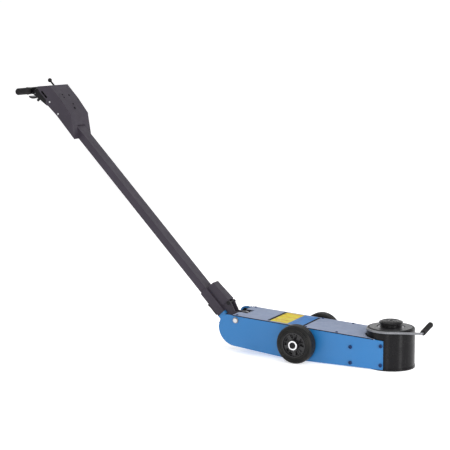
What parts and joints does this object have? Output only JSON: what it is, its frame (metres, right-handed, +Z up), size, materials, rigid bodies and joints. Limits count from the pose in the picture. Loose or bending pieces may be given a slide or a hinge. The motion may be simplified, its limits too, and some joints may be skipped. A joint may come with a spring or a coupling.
{
  "type": "air hydraulic trolley jack",
  "caption": "Low two-stage air-hydraulic vehicle jack on two wheels: lifting cylinder with front grip, blue chassis and a long tilting handle with control lever.",
  "frame": {"origin": "centre of the lifting cylinder's foot, on the floor", "axes": "+X forward towards the front grip, +Y to the jack's left, +Z up along the lifting axis"},
  "size_m": [1.551, 0.282, 0.9244],
  "materials": {
    "blue_paint": "gloss powder coat",
    "bolt_paint": "satin paint",
    "cover_paint": "satin paint",
    "black_paint": "satin paint",
    "piston_iron": "machined, oiled",
    "handle_paint": "fine-textured powder coat",
    "black_rubber": "matte",
    "tyre_rubber": "matte",
    "rim_plastic": "satin",
    "zinc": "bright zinc plate",
    "steel": "machined",
    "brass": "turned",
    "label_yellow": "printed film, no text",
    "label_blue": "printed film, no text"
  },
  "bodies": {
    "chassis": {"lift_cylinder": "black_paint", "wiper_ring": "black_rubber", "side_plate_near": "blue_paint", "side_plate_far": "blue_paint", "plate_bolt_near_1": "bolt_paint", "plate_bolt_near_2": "bolt_paint", "plate_bolt_near_3": "bolt_paint", "plate_bolt_near_4": "bolt_paint", "plate_bolt_far_1": "bolt_paint", "plate_bolt_far_2": "bolt_paint", "plate_bolt_far_3": "bolt_paint", "plate_bolt_far_4": "bolt_paint", "top_cover": "cover_paint", "bottom_plate": "blue_paint", "pump_block": "piston_iron", "air_motor": "steel", "oil_tank": "black_paint", "filler_plug": "brass", "suction_pipe": "steel", "wheel_axle": "steel", "hub_washer_near": "zinc", "hub_washer_far": "zinc", "front_grip_rod": "zinc", "front_grip": "black_rubber", "pivot_pin": "zinc", "pin_ring_near": "steel", "pin_ring_far": "steel", "rear_cross_bar": "steel", "stop_sector": "steel"},
    "outer_piston": {"outer_piston": "piston_iron"},
    "inner_ram": {"inner_ram": "steel"},
    "saddle": {"saddle": "black_paint"},
    "wheel_near": {"tyre_near": "tyre_rubber", "rim_near": "rim_plastic"},
    "wheel_far": {"tyre_far": "tyre_rubber", "rim_far": "rim_plastic"},
    "handle": {"pivot_yoke": "handle_paint", "yoke_cover": "handle_paint", "yoke_bolt": "black_paint", "handle_socket": "handle_paint", "socket_foot": "blue_paint", "handle_tube": "handle_paint", "stop_barrel": "black_paint", "barrel_clip": "black_rubber", "head_housing": "handle_paint", "grip_bracket": "black_paint", "t_bar": "steel", "t_grip_near": "black_rubber", "t_grip_far": "black_rubber", "trigger_pin": "steel", "valve_block": "steel", "lever_pin": "steel", "air_inlet": "black_paint"},
    "stop_rod": {"stop_rod": "zinc"},
    "control_lever": {"control_lever": "black_paint", "lever_knob": "black_rubber"},
    "release_trigger": {"release_trigger": "black_paint"}
  },
  "joints": [
    {"name": "wheel_near_spin", "type": "hinge", "parent": "chassis", "child": "wheel_near", "pos_m": [-0.294, -0.108, 0.065], "axis": [0, 1, 0], "continuous": true},
    {"name": "wheel_far_spin", "type": "hinge", "parent": "chassis", "child": "wheel_far", "pos_m": [-0.294, 0.108, 0.065], "axis": [0, 1, 0], "continuous": true},
    {"name": "stage_one_lift", "type": "slide", "parent": "chassis", "child": "outer_piston", "axis": [0, 0, 1], "range_m": [0, 0.075]},
    {"name": "stage_two_lift", "type": "slide", "parent": "outer_piston", "child": "inner_ram", "axis": [0, 0, 1], "range_m": [0, 0.06]},
    {"name": "saddle_lift_out", "type": "slide", "parent": "inner_ram", "child": "saddle", "axis": [0, 0, 1], "range_m": [0, 0.024]},
    {"name": "handle_tilt", "type": "hinge", "parent": "chassis", "child": "handle", "pos_m": [-0.534, 0, 0.116], "axis": [0, 1, 0], "range_deg": [-35, 30]},
    {"name": "stop_rod_slide", "type": "slide", "parent": "handle", "child": "stop_rod", "axis": [0.6909, 0, -0.723], "range_m": [0, 0.024]},
    {"name": "lever_swing", "type": "hinge", "parent": "handle", "child": "control_lever", "pos_m": [-1.29652, 0, 0.87702], "axis": [0, 1, 0], "range_deg": [-14, 14], "stiffness_Nm_per_rad": 2},
    {"name": "trigger_squeeze", "type": "hinge", "parent": "handle", "child": "release_trigger", "pos_m": [-1.36456, 0, 0.87078], "axis": [0, 1, 0], "range_deg": [0, 9], "stiffness_Nm_per_rad": 0.6, "springref_deg": -8.59}
  ]
}
